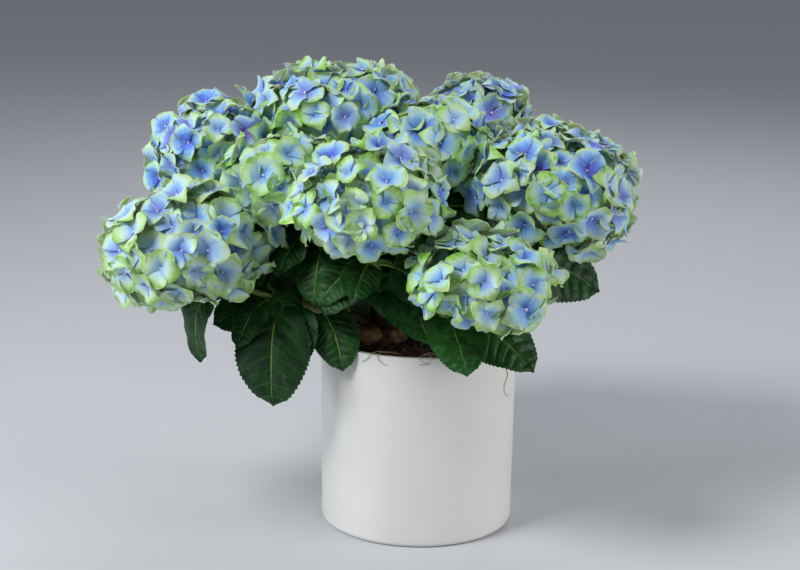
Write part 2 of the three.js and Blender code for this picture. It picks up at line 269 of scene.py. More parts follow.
def add_tube(bm, path, radius, sides, rings, material=0, relief=None):
    """Adds a closed tube along path(share), with its radius from radius(share) and its surface raised by
    relief(point, radius)."""
    steps = [path(i / rings) for i in range(rings + 1)]
    frames = []
    side = None
    for i, step in enumerate(steps):
        along = (steps[min(i + 1, rings)] - steps[max(i - 1, 0)]).normalized()
        if side is None:
            side = along.orthogonal().normalized()
        side = (side - along * side.dot(along)).normalized()
        frames.append((step, side, along.cross(side)))
    thickness = [radius(i / rings) for i in range(rings + 1)]

    def place(point):
        i = round(point.z * rings)
        middle, across, over = frames[i]
        spot = middle + (across * point.x + over * point.y) * thickness[i]
        if relief is not None:
            spot = spot + (spot - middle).normalized() * relief(spot, thickness[i])
        return spot

    add_copy(bm, tube_template(sides, rings), place, lambda _: material)


def tapering(foot, tip):
    """A tube's radius that goes evenly from foot to tip."""
    return lambda share: lerp(foot, tip, share)


# ---- Finishes ----
GLOW_REACH = (1.0, 0.9, 0.7)  # how deep red, green and blue light go in, against each other


def plain(name, colour, roughness, glow=0.0, depth=1.0, gloss=0.5):
    """One even colour, with light let into its skin by glow to a depth in millimetres."""
    material = bpy.data.materials.new(name)
    material.use_nodes = True
    skin = material.node_tree.nodes["Principled BSDF"]
    skin.inputs["Base Color"].default_value = linear(colour)
    skin.inputs["Roughness"].default_value = roughness
    skin.inputs["Specular IOR Level"].default_value = gloss
    skin.inputs["Subsurface Weight"].default_value = glow
    skin.inputs["Subsurface Radius"].default_value = GLOW_REACH
    skin.inputs["Subsurface Scale"].default_value = depth * MM
    return material


class Patterned:
    """A material that is built up from nodes on Object coordinates, in metres."""

    MIX_A, MIX_B, MIXED = 6, 7, 2  # the colour sockets of a Mix node

    def __init__(self, name):
        self.material = bpy.data.materials.new(name)
        self.material.use_nodes = True
        self.tree = self.material.node_tree
        self.skin = self.tree.nodes["Principled BSDF"]
        self.place = self.tree.nodes.new("ShaderNodeTexCoord").outputs["Object"]

    def link(self, source, target):
        self.tree.links.new(source, target)

    def feed(self, value, socket):
        """Sets a socket to a number, or links it to another node's output."""
        if isinstance(value, (int, float)):
            socket.default_value = value
        else:
            self.link(value, socket)

    def stretched(self, x, y, z):
        mapping = self.tree.nodes.new("ShaderNodeMapping")
        mapping.inputs["Scale"].default_value = (x, y, z)
        self.link(self.place, mapping.inputs["Vector"])
        return mapping.outputs["Vector"]

    def noise(self, scale, detail=4.0, place=None):
        node = self.tree.nodes.new("ShaderNodeTexNoise")
        node.inputs["Scale"].default_value = scale
        node.inputs["Detail"].default_value = detail
        self.link(place or self.place, node.inputs["Vector"])
        return node.outputs["Fac"]

    def cells(self, scale, place=None):
        node = self.tree.nodes.new("ShaderNodeTexVoronoi")
        node.inputs["Scale"].default_value = scale
        self.link(place or self.place, node.inputs["Vector"])
        return node.outputs["Distance"]

    def height(self):
        node = self.tree.nodes.new("ShaderNodeSeparateXYZ")
        self.link(self.place, node.inputs["Vector"])
        return node.outputs["Z"]

    def between(self, value, low, high):
        """value as 0 at low and 1 at high."""
        node = self.tree.nodes.new("ShaderNodeMapRange")
        self.link(value, node.inputs["Value"])
        node.inputs["From Min"].default_value = low
        node.inputs["From Max"].default_value = high
        return node.outputs["Result"]

    def maths(self, operation, a, b):
        node = self.tree.nodes.new("ShaderNodeMath")
        node.operation = operation
        self.feed(a, node.inputs[0])
        self.feed(b, node.inputs[1])
        return node.outputs["Value"]

    def ramp(self, value, *stops):
        """Colours along a value, each stop as (place, colour)."""
        node = self.tree.nodes.new("ShaderNodeValToRGB")
        elements = node.color_ramp.elements
        while len(elements) < len(stops):
            elements.new(0.5)
        for element, (place, colour) in zip(elements, stops):
            element.position = place
            element.color = linear(colour)
        self.link(value, node.inputs["Fac"])
        return node.outputs["Color"]

    def mix(self, share, a, b, blend="MIX"):
        node = self.tree.nodes.new("ShaderNodeMix")
        node.data_type = "RGBA"
        node.blend_type = blend
        self.feed(share, node.inputs["Factor"])
        self.link(a, node.inputs[self.MIX_A])
        self.link(b, node.inputs[self.MIX_B])
        return node.outputs[self.MIXED]

    def colour(self, source):
        self.link(source, self.skin.inputs["Base Color"])

    def roughness(self, value, low, high):
        node = self.tree.nodes.new("ShaderNodeMapRange")
        self.link(value, node.inputs["Value"])
        node.inputs["To Min"].default_value = low
        node.inputs["To Max"].default_value = high
        self.link(node.outputs["Result"], self.skin.inputs["Roughness"])

    def bump(self, value, strength, distance):
        node = self.tree.nodes.new("ShaderNodeBump")
        node.inputs["Strength"].default_value = strength
        node.inputs["Distance"].default_value = distance * MM
        self.link(value, node.inputs["Height"])
        self.link(node.outputs["Normal"], self.skin.inputs["Normal"])


def glaze():
    """Satin white glaze, a little uneven, with faint speckles."""
    m = Patterned("satin white glaze")
    white = m.ramp(m.noise(scale=9, detail=3), (0.3, "dddcd8"), (0.7, "e6e5e2"))
    specks = m.ramp(m.noise(scale=900, detail=2), (0.22, "b9b6b0"), (0.3, "ffffff"))
    m.colour(m.mix(1.0, white, specks, "MULTIPLY"))
    m.roughness(m.noise(scale=40, detail=3), low=0.34, high=0.5)
    m.bump(m.noise(scale=160, detail=3), strength=0.12, distance=0.4)
    return m.material


def peat():
    """Dark damp peat with lighter fibres in it."""
    m = Patterned("damp peat")
    grain = m.noise(scale=240, detail=6)
    m.colour(m.ramp(grain, (0.3, "120d08"), (0.52, "241a10"), (0.7, "3d2c1b")))
    m.roughness(grain, low=0.75, high=1.0)
    m.bump(m.noise(scale=520, detail=6), strength=0.8, distance=1.2)
    return m.material


def bark():
    """Peeling grey-brown bark, streaked along the stem."""
    m = Patterned("peeling bark")
    streaks = m.noise(scale=120, detail=5, place=m.stretched(1, 1, 0.18))
    m.colour(m.ramp(streaks, (0.3, "1e130b"), (0.5, "432d1b"), (0.68, "6b4e33"), (0.8, "87704f")))
    m.roughness(streaks, low=0.7, high=0.95)
    m.bump(streaks, strength=0.7, distance=1.0)
    return m.material


def root_skin(name, dark, pale):
    """Dry root or withered leaf, blotched from dark to pale."""
    m = Patterned(name)
    blotches = m.noise(scale=420, detail=4)
    m.colour(m.ramp(blotches, (0.35, dark), (0.65, pale)))
    m.roughness(blotches, low=0.7, high=0.95)
    m.bump(blotches, strength=0.3, distance=0.3)
    return m.material


TURNS_GREEN = (0.222, 0.244)  # the heights in metres between which a cane's brown foot gives way to green
RAGGED = 0.05  # how far down from there, in metres, that border is ragged


def cane_skin():
    """Red-brown wood at the foot that turns to green skin with small brown lenticels."""
    m = Patterned("green cane")
    streaks = m.noise(scale=140, detail=4, place=m.stretched(1, 1, 0.2))
    green = m.ramp(streaks, (0.3, "4f6524"), (0.5, "738838"), (0.72, "93a250"))
    brown = m.ramp(streaks, (0.3, "3a2114"), (0.55, "6b4024"), (0.75, "8a5c36"))
    ragged = m.maths("ADD", m.height(), m.maths("MULTIPLY", m.noise(scale=38, detail=3), RAGGED))
    skin = m.mix(m.between(ragged, *TURNS_GREEN), brown, green)
    lenticels = m.cells(scale=260, place=m.stretched(1, 1, 0.5))
    m.colour(m.mix(m.between(lenticels, low=0.12, high=0.2), brown, skin))
    m.roughness(streaks, low=0.45, high=0.65)
    m.bump(streaks, strength=0.25, distance=0.5)
    return m.material


# From a floret's throat out to its ripe green margin. The tones between these are mixed in even steps.
PETAL_ANCHORS = [
    "6048b8", "5c62d0", "5f82dc", "74a2e6", "8fbde8", "aad2de",
    "b8dcb8", "a8d284", "86bc50", "649c34", "467a24",
]
PETAL_STEPS = 16
PALE_GREY = "dfe8e4"
PALE_SHARE = 0.22  # how much of it the paler florets' tones hold
PETAL_MARGINS = ["d3e492", "c4dc9c", "a9cd66"]
PETAL_BACKS = ["b0cce2", "bdd6c2", "b2d08c"]
PETAL_FACE = {"roughness": 0.6, "glow": 0.35, "depth": 1.5, "gloss": 0.3}
PETAL_BACK = {"roughness": 0.65, "glow": 0.7, "depth": 2.0, "gloss": 0.3}


def blended(anchors, share):
    """A screen colour at a share of the way along a row of screen colours."""
    place = clamp(share) * (len(anchors) - 1)
    i = min(int(place), len(anchors) - 2)
    pairs = [(int(anchors[i][k : k + 2], 16), int(anchors[i + 1][k : k + 2], 16)) for k in (0, 2, 4)]
    return "".join(f"{round(lerp(a, b, place - i)):02x}" for a, b in pairs)


def petal_tones(whiten):
    """The petal colours in order, each mixed with a share of a pale grey."""
    tones = [blended(PETAL_ANCHORS, i / (PETAL_STEPS - 1)) for i in range(PETAL_STEPS)]
    return [blended([tone, PALE_GREY], whiten) for tone in tones]


def plain_row(name, tones, finish):
    """An even finish in each tone of a row."""
    return [plain(f"{name} {i}", tone, **finish) for i, tone in enumerate(tones)]


petal_skins = plain_row("deep petal", petal_tones(0.0), PETAL_FACE)
petal_skins += plain_row("pale petal", petal_tones(PALE_SHARE), PETAL_FACE)
petal_skins += plain_row("petal margin", PETAL_MARGINS, PETAL_FACE)
petal_skins += plain_row("petal back", PETAL_BACKS, PETAL_BACK)
FIRST_MARGIN = 2 * PETAL_STEPS
FIRST_BACK = FIRST_MARGIN + len(PETAL_MARGINS)
bead_skin = plain("pearly bead", "dfe2f4", roughness=0.35, glow=0.4)
ray_skin = plain("pale stalk", "a9bd74", roughness=0.55, glow=0.3)

LEAF_TONES = {
    "shade": "0a320a", "blade": "0e420e", "sheen": "175014",
    "vein": "21581d", "midrib": "4c7433", "under": "385a36",
}
LEAF_FINISH = {"roughness": 0.54, "glow": 0.1, "depth": 0.8, "gloss": 0.34}
leaf_skins = [plain(f"leaf {name}", tone, **LEAF_FINISH) for name, tone in LEAF_TONES.items()]
leaf_index = {name: i for i, name in enumerate(LEAF_TONES)}
stalk_skin = plain("leaf stalk", "7f9a48", roughness=0.5, glow=0.2)


# ---- Pot ----
POT_MESH = {"sides": 128, "corner": 6, "wall": 8}  # round the pot, round each corner and up the wall
FLOOR_CHAMFER = 3


def make_pot():
    rim, foot, height, wall = POT["rim"], POT["foot"], POT["height"], POT["wall"]
    corner, lip, floor = POT["corner"], POT["lip"], POT["floor"]
    quarter = [math.pi / 2 * i / POT_MESH["corner"] for i in range(POT_MESH["corner"] + 1)]
    shares = [i / POT_MESH["wall"] for i in range(1, POT_MESH["wall"] + 1)]
    outline = [(0, 0)]
    outline += [(foot - corner + corner * math.sin(a), corner - corner * math.cos(a)) for a in quarter]
    outline += [(lerp(foot, rim, share), lerp(corner, height - lip, share)) for share in shares]
    outline += [(rim - lip + lip * math.cos(a), height - lip + lip * math.sin(a)) for a in quarter[1:]]
    inner = rim - wall
    outline += [(inner + lip - lip * math.sin(a), height - lip + lip * math.cos(a)) for a in quarter]
    outline += [(foot - wall, floor + FLOOR_CHAMFER), (foot - wall - FLOOR_CHAMFER, floor), (0, floor)]
    bm = bmesh.new()
    ring = [bm.verts.new((r, 0, z)) for r, z in outline]
    edges = [bm.edges.new(pair) for pair in zip(ring, ring[1:])]
    turn = {"cent": (0, 0, 0), "axis": UP, "angle": math.tau, "steps": POT_MESH["sides"]}
    bmesh.ops.spin(bm, geom=ring + edges, use_merge=True, **turn)
    bmesh.ops.remove_doubles(bm, verts=bm.verts, dist=0.01)
    bmesh.ops.recalc_face_normals(bm, faces=bm.faces)
    finished("glazed_pot", bm, [glaze()], ["pot"])


# ---- Root ball ----
# fractal is the noise's fall-off, its step from one octave to the next and its number of octaves. The lumps
# fade out over the last stretch before the pot's wall.
PEAT = {"clearance": 0.1, "scale": 0.09, "fractal": (0.9, 2.1, 5), "lump": 2.2, "fade": 6, "sunk": 0.4}
PEAT_MESH = {"cells": 110, "foot_gap": 3.2}
SOIL_REACH = POT["rim"] - POT["wall"] - SOIL["gap"] - PEAT["clearance"]


def soil_height(radius):
    """The height of the root ball's smooth mound at a distance from the pot's axis."""
    shoulder = (SOIL_REACH + SOIL["crest_radius"]) / 2
    stops = [(0, SOIL["crest"]), (SOIL["crest_radius"], SOIL["crest"])]
    stops += [(shoulder, SOIL["shoulder"]), (SOIL_REACH, SOIL["edge"])]
    for (r0, z0), (r1, z1) in zip(stops, stops[1:]):
        if radius <= r1:
            return lerp(z0, z1, smooth((radius - r0) / (r1 - r0)))
    return SOIL["edge"]


def soil_surface(x, y):
    """The height of the rough peat at a spot."""
    radius = math.hypot(x, y)
    lumps = noise.fractal(Vector((x, y, 0)) * PEAT["scale"], *PEAT["fractal"]) * PEAT["lump"]
    return soil_height(radius) + lumps * clamp((SOIL_REACH - radius) / PEAT["fade"]) - PEAT["sunk"]


def make_soil():
    bm = bmesh.new()
    bmesh.ops.create_grid(bm, x_segments=PEAT_MESH["cells"], y_segments=PEAT_MESH["cells"], size=1)
    for vert in bm.verts:
        u, v = vert.co.x, vert.co.y
        x = SOIL_REACH * u * math.sqrt(1 - v * v / 2)
        y = SOIL_REACH * v * math.sqrt(1 - u * u / 2)
        vert.co = (x, y, soil_surface(x, y))
    border = [e for e in bm.edges if e.is_boundary]
    walls = bmesh.ops.extrude_edge_only(bm, edges=border)["geom"]
    lower = [g for g in walls if isinstance(g, bmesh.types.BMVert)]
    narrowing = (POT["foot"] - POT["wall"] - PEAT_MESH["foot_gap"]) / SOIL_REACH
    for vert in lower:
        vert.co = (vert.co.x * narrowing, vert.co.y * narrowing, POT["floor"] + SOIL["gap"])
    bmesh.ops.contextual_create(bm, geom=[e for e in walls if isinstance(e, bmesh.types.BMEdge)])
    bmesh.ops.recalc_face_normals(bm, faces=bm.faces)
    finished("root_ball", bm, [peat()], ["soil"])


CRUMB = {"count": 700, "inset": 3, "size": (0.6, 2.4), "raised": 0.3}
CRUMB_SHAPE = {"width": (0.6, 1), "height": (0.4, 0.8)}  # as shares of its length


def make_crumbs(rng):
    """Loose crumbs of peat over the mound."""
    lump = bmesh.new()
    bmesh.ops.create_icosphere(lump, subdivisions=1, radius=1)
    template = as_template("crumb", lump, 20)
    bm = bmesh.new()
    for _ in range(CRUMB["count"]):
        radius = (SOIL_REACH - CRUMB["inset"]) * math.sqrt(rng.random())
        turn = rng.uniform(0, math.tau)
        x, y = radius * math.cos(turn), radius * math.sin(turn)
        size = rng.uniform(*CRUMB["size"])
        width, height = rng.uniform(*CRUMB_SHAPE["width"]), rng.uniform(*CRUMB_SHAPE["height"])
        shape = Matrix.Diagonal((size, size * width, size * height, 1))
        turned = Matrix.Rotation(rng.uniform(0, math.tau), 4, "Z") @ shape
        place = Matrix.Translation((x, y, soil_surface(x, y) + size * CRUMB["raised"])) @ turned
        add_copy(bm, template, lambda p, m=place: m @ p)
    finished("peat_crumbs", bm, [peat()])


# Two fibres in three start at the front, at a bearing with a spread and a share of the way out. A fibre
# bends one way, wavers at every spot, and is turned back where it comes to the wall.
FIBRE = {"count": 120, "inset": 4, "front": (285, 34), "front_out": (0.7, 1.0), "bend": (-0.28, 0.28)}
FIBRE_RUN = {"spots": 11, "wall": 1.5, "lift": 0.5, "wave": 0.7, "waver": (-0.5, 0.5), "tip": 0.4}
BOLD_FIBRE = {"stride": (3.6, 6.2), "arch": 3.2, "thick": (0.4, 0.6)}
FINE_FIBRE = {"stride": (2.2, 4.6), "arch": 1.6, "thick": (0.22, 0.45)}


def make_fibres(rng):
    """Fine brown roots that lie tangled on the mound, one in six of them bolder."""
    bm = bmesh.new()
    for i in range(FIBRE["count"]):
        front = i % 3 != 0
        turn = math.radians(rng.gauss(*FIBRE["front"])) if front else rng.uniform(0, math.tau)
        far_out = rng.uniform(*FIBRE["front_out"]) if front else math.sqrt(rng.random())
        away = (SOIL_REACH - FIBRE["inset"]) * far_out
        x, y = away * math.cos(turn), away * math.sin(turn)
        way = rng.uniform(0, math.tau)
        bold = i % 6 == 0
        kind = BOLD_FIBRE if bold else FINE_FIBRE
        bend = rng.uniform(*FIBRE["bend"])
        stride = rng.uniform(*kind["stride"])
        spots = []
        for step in range(FIBRE_RUN["spots"]):
            far = math.hypot(x, y) / (SOIL_REACH - FIBRE_RUN["wall"])
            if far > 1:
                x, y = x / far, y / far
                way += math.pi / 2
            lift = FIBRE_RUN["lift"] + kind["arch"] * abs(math.sin(step * FIBRE_RUN["wave"] + i))
            spots.append(Vector((x, y, soil_surface(x, y) + lift)))
            way += bend + rng.uniform(*FIBRE_RUN["waver"])
            x, y = x + stride * math.cos(way), y + stride * math.sin(way)
        thick = rng.uniform(*kind["thick"])
        skin = 0 if bold else 1 + rng.randrange(2)
        radius = tapering(thick, thick * FIBRE_RUN["tip"])
        add_tube(bm, smoothly_through(spots), radius, sides=5, rings=20, material=skin)
    skins = [
        root_skin("pale root", "8d765c", "c4ad8c"),
        root_skin("brown root", "54392a", "8b6a48"),
        root_skin("dark root", "2d1c11", "523722"),
    ]
    finished("root_fibres", bm, skins)


def smoothly_through(points):
    """A path that runs smoothly through points, as a function of its share."""
    spots = [Vector(p) for p in points]
    spots = [spots[0] * 2 - spots[1]] + spots + [spots[-1] * 2 - spots[-2]]

    def path(share):
        place = clamp(share) * (len(spots) - 3)
        i = min(int(place), len(spots) - 4)
        t = place - i
        a, b, c, d = spots[i : i + 4]
        bend = a - b * 2.5 + c * 2 - d / 2
        swing = (b - c) * 1.5 + (d - a) / 2
        return b + (c - a) * (t / 2) + bend * t * t + swing * t**3

    return path


# Roots that have crept over the rim, each a row of spots by bearing, height and, where the spot isn't on the
# outer wall, distance from the axis: a long root that hangs down the pot at the right, and short loops over
# the front of the rim.
STRAY_ROOTS = [
    [
        (-47, 176, 76), (-43, 178.4, 83), (-40, 179, 88), (-38, 177.5, 90.8), (-36, 172), (-31, 160),
        (-27, 150), (-31, 140), (-29, 132), (-24, 128),
    ],
    [(-112, 175, 73), (-114, 179.6, 82), (-116, 180.6, 88), (-118, 178.5, 91.2), (-121, 173), (-124, 170.5)],
    [(-103, 175, 71), (-107, 179.2, 80), (-112, 180.8, 87), (-114, 178.2, 91), (-112, 172.5), (-108, 170)],
    [(-88, 175, 73), (-86, 179, 82), (-84, 180.6, 88), (-83, 178, 91.1), (-86, 173.5), (-90, 172.5)],
    [(-79, 175, 70), (-83, 180, 80), (-86, 182, 87), (-90, 179.6, 91), (-88, 175), (-84, 173)],
]
STRAY_ROOT = {"off_wall": 0.5, "thick": (0.42, 0.22), "sides": 6, "rings_a_spot": 6}


def make_stray_roots():
    """The roots that hang over the rim, as one piece."""
    bm = bmesh.new()
    for root in STRAY_ROOTS:
        spots = []
        for bearing, height, *inner in root:
            wall = lerp(POT["foot"], POT["rim"], height / POT["height"]) + STRAY_ROOT["off_wall"]
            spots.append(level_at(bearing) * (inner[0] if inner else wall) + UP * height)
        rings = STRAY_ROOT["rings_a_spot"] * len(spots)
        radius = tapering(*STRAY_ROOT["thick"])
        add_tube(bm, smoothly_through(spots), radius, STRAY_ROOT["sides"], rings)
    finished("stray_roots", bm, [root_skin("pale brown root", "7d6850", "b39c80")])


DRY_LEAF_ROOT = (-74, -52, 188)
DRY_LEAF = {"bearing": 350, "droop": 8, "length": 24, "half": 6, "curl": 1.2}


def make_dry_leaf(rng):
    """A withered, rolled-up leaf that lies on the peat under the left shoots, in one finish."""
    bm = bmesh.new()
    add_blade(bm, Vector(DRY_LEAF_ROOT), rng=rng, **DRY_LEAF)
    for face in bm.faces:
        face.material_index = 0
    finished("withered_leaf", bm, [root_skin("withered leaf", "4a301c", "8f6a40")])


# ---- Trunk and shoots ----
CROWN = {"buried": 2.5, "sides": 56, "rings": 36}
RIDGES = {"across": 0.35, "along": 0.06, "fractal": (0.8, 2.0, 4), "height": 1.6, "sunk": 0.5}
STEM = {"sides": 12, "ring": 3, "end": 0.985}
JOINTS = {"bare": (0.45, 0.95), "reach": 3.2, "swell": 0.3}
STEM_GRAIN = {"across": 0.5, "along": 0.12, "height": 0.07}


def make_trunk():
    """The knobbly crown that the canes rise from."""
    bottom, top = SOIL["crest"] - CROWN["buried"], SOIL["crest"] + SOIL["gap"] + TRUNK_OUTLINE[-1][0]
    axis = Vector((TRUNK["x"], TRUNK["y"], 0))

    def radius(share):
        height = lerp(bottom, top, share) - SOIL["crest"]
        for (z0, r0), (z1, r1) in zip(TRUNK_OUTLINE, TRUNK_OUTLINE[1:]):
            if height <= z1:
                return lerp(r0, r1, clamp((height - z0) / (z1 - z0)))
        return TRUNK_OUTLINE[-1][1]

    def ridges(spot, _):
        across, along = RIDGES["across"], RIDGES["along"]
        around = Vector((spot.x * across, spot.y * across, spot.z * along))
        return noise.fractal(around, *RIDGES["fractal"]) * RIDGES["height"] - RIDGES["sunk"]

    def upwards(share):
        return axis + UP * lerp(bottom, top, share)

    bm = bmesh.new()
    add_tube(bm, upwards, radius, CROWN["sides"], CROWN["rings"], relief=ridges)
    finished("root_crown", bm, [bark()], ["trunk"])


def out_of(shoot):
    """The level direction from the trunk to a shoot's head."""
    head = Vector(shoot["head"])
    return Vector((head.x - TRUNK["x"], head.y - TRUNK["y"], 0)).normalized()


def line_of(shoot):
    """The line of a whole shoot, from inside the trunk to the middle of its head."""
    bearing, height = shoot["foot"]
    level = level_at(bearing)
    start = Vector((TRUNK["x"], TRUNK["y"], SOIL["crest"] + height)) + level * TRUNK["inset"]
    end = Vector(shoot["head"])
    reach = (end - start).length
    steep = (end.z - start.z) / reach
    leaving = heading(level, lerp(*ARCH["leaving"], steep))
    entering = heading(out_of(shoot), lerp(*ARCH["entering"], steep))
    pull = ARCH["pull"] * reach
    return Line(start, start + leaving * pull, end - entering * pull, end)


def leafy_of(shoot, line):
    """The leafy stretch of a line, from the end of the bare cane up to the head's collar."""
    collar = HEAD["core"] * shoot["dome"][0] + CANE["collar"]
    return CANE["bare"], 1 - collar / line.length


def make_shoot(shoot, line, skin):
    """The whole stem of a shoot, with a swollen joint at each pair of leaves and on the bare cane."""
    start, end = leafy_of(shoot, line)
    joints = [lerp(start, end, pair[0]) for pair in shoot["pairs"]]
    joints += [start * share for share in JOINTS["bare"]]

    def radius(share):
        if share < start:
            thick = lerp(CANE["foot"], CANE["shoot"], share / start)
        else:
            thick = lerp(CANE["shoot"], CANE["neck"], clamp((share - start) / (end - start)))
        away = [(share - joint) * line.length / JOINTS["reach"] for joint in joints]
        return thick * (1 + JOINTS["swell"] * max(math.exp(-(far**2)) for far in away))

    def grain(spot, thick):
        across, along = STEM_GRAIN["across"], STEM_GRAIN["along"]
        around = Vector((spot.x * across, spot.y * across, spot.z * along))
        return noise.noise(around) * STEM_GRAIN["height"] * thick

    def path(share):
        return line.at(share * STEM["end"])

    def thickness(share):
        return radius(share * STEM["end"])

    bm = bmesh.new()
    rings = round(line.length / STEM["ring"])
    add_tube(bm, path, thickness, STEM["sides"], rings, relief=grain)
    finished("stem_" + shoot["name"], bm, [skin], ["cane_" + shoot["name"]])


# ---- Leaves ----
VEINS = 8  # pairs of side veins on a blade
VEIN_ROWS = (0.0, 0.1, 0.3, 0.5, 0.6, 0.8)  # rows of the mesh from one side vein to the next
TOOTH = (1.0, 0.0, 0.45, 1.0, 0.0, 0.45)  # how far each row stands out at the margin: two teeth to a vein
PILLOW = (0.0, 0.4, 0.85, 1.0, 0.95, 0.7)  # how far each row bulges up between the veins
SWEEP = 0.32  # how far along the blade a side vein has run when it meets the margin


# How leaves differ from each other: the waves of their margin, their twist, how much they curl across, how
# plump they are between two veins, and whether they are lighter or darker.
VARIETY = {
    "wave": (0.8, 2.2), "twist": (-0.3, 0.3), "curl": (0.08, 0.24),
    "plump": (0.6, 1.2), "mood": (-0.25, 0.25),
}
MOTTLE = {"across": 2.2, "along": 3, "shade": -0.18, "sheen": 0.24, "veins_to": 0.72}
# How far the teeth stand out and the quilting bulges, as shares of a leaf's length, its fine wrinkles as a
# share of that bulge, and its broad buckles in millimetres. The scales are those of the noise.
QUILT = {"tooth": 0.018, "bulge": 0.019, "wrinkle": 0.7, "buckle": 1.2}
QUILT_SCALE = {"wrinkle": 0.24, "buckle": 0.1}
# Along the blade: how soon the side veins sweep on, how soon the relief is full at the foot, how late it
# fades at the tip, and how fast the margin waves. Across it: how the veins bow, and where the quilting peaks
# and ends.
RELIEF = {"swept": 6, "foot": 14, "tip": 9, "waves": 10, "bow": 1.3, "peak": 0.7, "end": 1.02}
THINNESS = 170  # a leaf's length over its thickness
STALK = {"own": 0.4, "knee": 0.5, "below": 0.9, "under": 0.9, "rise": 0.4}
STALK_THICK = {"foot": 1.35, "top": 0.95, "tip": 0.3}
# How finely each size of leaf is made: its columns on each side of the midrib, and how thick its stalk is.
LARGE, SMALL, SMALLEST = (12, 1.0), (8, 0.8), (6, 0.7)

# The smallest leaves are dealt out inside the plant, on the shoots that aren't bare there.
YOUNG = {
    "places": (0.02, 0.35, 0.6, 0.9), "turn": 40, "stray": (-20, 20), "droop": (-10, 35), "length": (46, 64),
    "none_on": ("left_low", "centre", "centre_left", "right_low"),
}
# What they keep clear of, at evenly spaced checks along the midrib: the pot and the space round it, the
# space below the soil's crest, the heads, and the plant's outline.
ROOM = {
    "checks": 6, "over_pot": 8, "past_rim": 25, "under_crest": 30,
    "head_share": 0.96, "hem": 0.2, "out": 190, "up": 290,
}


def midrib_of(root, out, droop, length):
    """The midrib of a leaf, from the end of its stalk to its tip."""
    stalk = lerp(LEAF["petiole"], LEAF["hanging"], clamp(droop / LEAF["steepest"]))
    base = root + heading(out, LEAF["lift"] - LEAF["stalk_droop"] * droop) * stalk
    bend = base + heading(out, -LEAF["middle_droop"] * droop) * (length / 2)
    return Line(base, bend, base + heading(out, -droop) * length)


def roll_of(root, bearing, droop):
    """How far a leaf's face is rolled towards the light, in radians."""
    outwards = math.atan2(root.y - TRUNK["y"] - LEAF["behind"], root.x - TRUNK["x"])
    roll = math.radians(LEAF["roll"])
    return roll * math.sin(math.radians(bearing) - outwards) * math.cos(math.radians(droop))


def blade_width(share):
    """How much of its full width a blade has at a share of its length, with a drawn-out tip."""
    neck = BLADE["neck"]
    full = math.sin(math.pi * min(share, neck) ** BLADE["belly"]) ** BLADE["fullness"]
    return full * (clamp((1 - share) / (1 - neck)) ** BLADE["tip"])


def columns_of(half):
    """The places of a blade's lengthwise lines from its midrib to its margin."""
    shares = [(i / (half - 1)) ** BLADE["crowding"] for i in range(half)]
    return [0.0] + [lerp(BLADE["midrib"], 1, share) for share in shares]


def paint_blade(sheet, half, rows, columns, grain, mood):
    """Gives a blade's flat grid its tones: midrib, side veins, and shade or sheen in soft clouds."""
    for face in sheet.faces:
        spot = face.calc_center_median()
        column = int(abs(spot.x) * half)
        row = int((spot.y + 1) / 2 * rows)
        cloud = mood + noise.noise(grain + Vector((spot.x * MOTTLE["across"], spot.y * MOTTLE["along"], 0)))
        tone = "shade" if cloud < MOTTLE["shade"] else "sheen" if cloud > MOTTLE["sheen"] else "blade"
        if row % len(VEIN_ROWS) == 0 and columns[column] < MOTTLE["veins_to"]:
            tone = "vein"
        if column == 0:
            tone = "midrib"
        face.material_index = leaf_index[tone]


